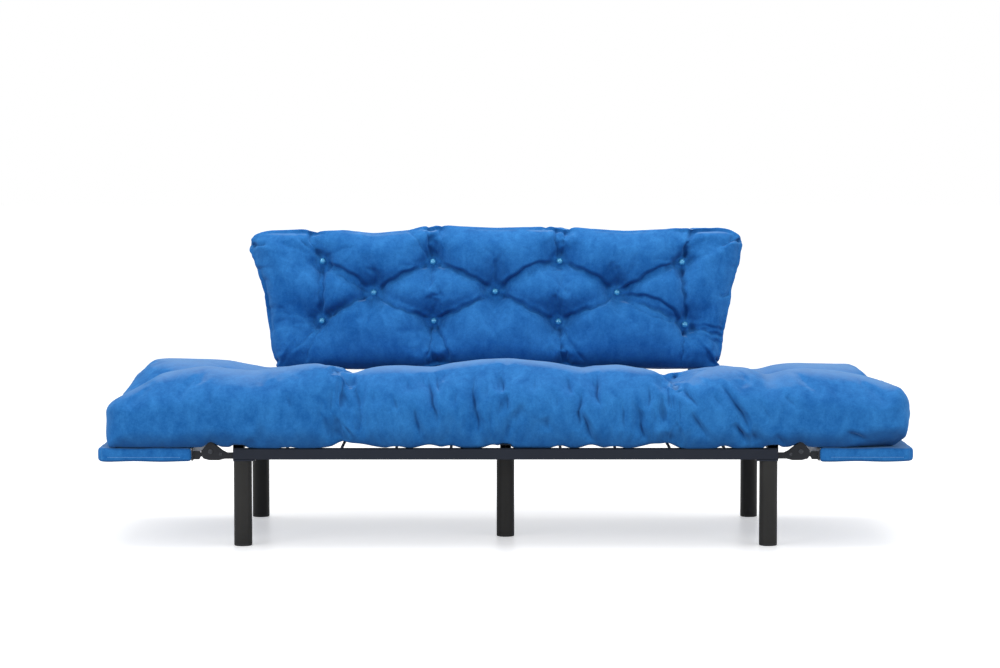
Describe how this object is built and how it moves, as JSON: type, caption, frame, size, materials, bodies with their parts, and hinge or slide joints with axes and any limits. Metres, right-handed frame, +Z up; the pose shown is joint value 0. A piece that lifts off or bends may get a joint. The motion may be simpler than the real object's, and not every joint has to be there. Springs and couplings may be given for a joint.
{
  "type": "futon sofa bed",
  "caption": "Sofa bed: a tufted mattress on a steel tube frame with round legs, a leaning tufted back cushion, and end wings that fold up on ratchet hinges",
  "frame": {"origin": "On the floor, under the middle of the sofa box.", "axes": "+X runs along the length to the right of a viewer in front, -Y is the front where a sitter looks, +Z is up."},
  "size_m": [2.25, 0.8185, 0.8635],
  "materials": {
    "velvet": "blue brushed microfibre with a soft nap",
    "wadding": "white wadding",
    "webbing": "blue woven webbing",
    "twine": "waxed twine",
    "board": "raw chipboard",
    "pearl_button": "pearl turquoise",
    "black_plastic": "moulded black",
    "leg_paint": "satin charcoal powder coat",
    "frame_paint": "satin dark powder coat",
    "hinge_paint": "satin black",
    "plain_steel": "zinc plated"
  },
  "bodies": {
    "frame": {"back_bar_caps": "black_plastic", "back_bolts": "plain_steel", "back_buttons": "pearl_button", "back_cushion": "velvet", "back_left_upright": "frame_paint", "back_lower_bar": "frame_paint", "back_right_upright": "frame_paint", "back_rods": "frame_paint", "back_sockets": "frame_paint", "back_top_bar": "frame_paint", "back_twines": "twine", "back_washers": "black_plastic", "centre_beam": "frame_paint", "centre_cross_bar": "frame_paint", "centre_leg": "leg_paint", "cushion_straps": "webbing", "foot_caps": "black_plastic", "front_left_leg": "leg_paint", "front_rail": "frame_paint", "front_right_leg": "leg_paint", "hinge_pivot_pins": "plain_steel", "hinge_screws": "plain_steel", "left_cross_bar": "frame_paint", "left_front_hinge_base": "hinge_paint", "left_rear_hinge_base": "hinge_paint", "leg_plates": "frame_paint", "leg_studs": "plain_steel", "pawl_pins": "plain_steel", "pawl_springs": "plain_steel", "rear_left_leg": "leg_paint", "rear_rail": "frame_paint", "rear_right_leg": "leg_paint", "right_cross_bar": "frame_paint", "right_front_hinge_base": "hinge_paint", "right_rear_hinge_base": "hinge_paint", "seat_buttons": "pearl_button", "seat_mattress": "velvet", "seat_twines": "twine", "seat_washers": "black_plastic", "support_rods": "frame_paint"},
    "left_wing": {"left_front_hinge_leaf": "hinge_paint", "left_mattress_end": "velvet", "left_rear_hinge_leaf": "hinge_paint", "left_wing_board": "board", "left_wing_cover": "velvet", "left_wing_pad": "wadding", "left_wing_screws": "plain_steel"},
    "right_wing": {"right_front_hinge_leaf": "hinge_paint", "right_mattress_end": "velvet", "right_rear_hinge_leaf": "hinge_paint", "right_wing_board": "board", "right_wing_cover": "velvet", "right_wing_pad": "wadding", "right_wing_screws": "plain_steel"},
    "left_front_pawl": {"left_front_pawl": "plain_steel"},
    "left_rear_pawl": {"left_rear_pawl": "plain_steel"},
    "right_front_pawl": {"right_front_pawl": "plain_steel"},
    "right_rear_pawl": {"right_rear_pawl": "plain_steel"}
  },
  "joints": [
    {"name": "left_wing_fold", "type": "hinge", "parent": "frame", "child": "left_wing", "pos_m": [-0.813, 0, 0.262], "axis": [0, 1, 0], "range_deg": [0, 75], "deforming": ["left_mattress_end"]},
    {"name": "right_wing_fold", "type": "hinge", "parent": "frame", "child": "right_wing", "pos_m": [0.813, 0, 0.262], "axis": [0, -1, 0], "range_deg": [0, 75], "deforming": ["right_mattress_end"]},
    {"name": "left_front_pawl_drop", "type": "hinge", "parent": "frame", "child": "left_front_pawl", "pos_m": [-0.785, -0.3854, 0.254], "axis": [0, 1, 0], "range_deg": [0, 10]},
    {"name": "left_rear_pawl_drop", "type": "hinge", "parent": "frame", "child": "left_rear_pawl", "pos_m": [-0.785, 0.2546, 0.254], "axis": [0, 1, 0], "range_deg": [0, 10]},
    {"name": "right_front_pawl_drop", "type": "hinge", "parent": "frame", "child": "right_front_pawl", "pos_m": [0.785, -0.3854, 0.254], "axis": [0, -1, 0], "range_deg": [0, 10]},
    {"name": "right_rear_pawl_drop", "type": "hinge", "parent": "frame", "child": "right_rear_pawl", "pos_m": [0.785, 0.2546, 0.254], "axis": [0, -1, 0], "range_deg": [0, 10]}
  ]
}
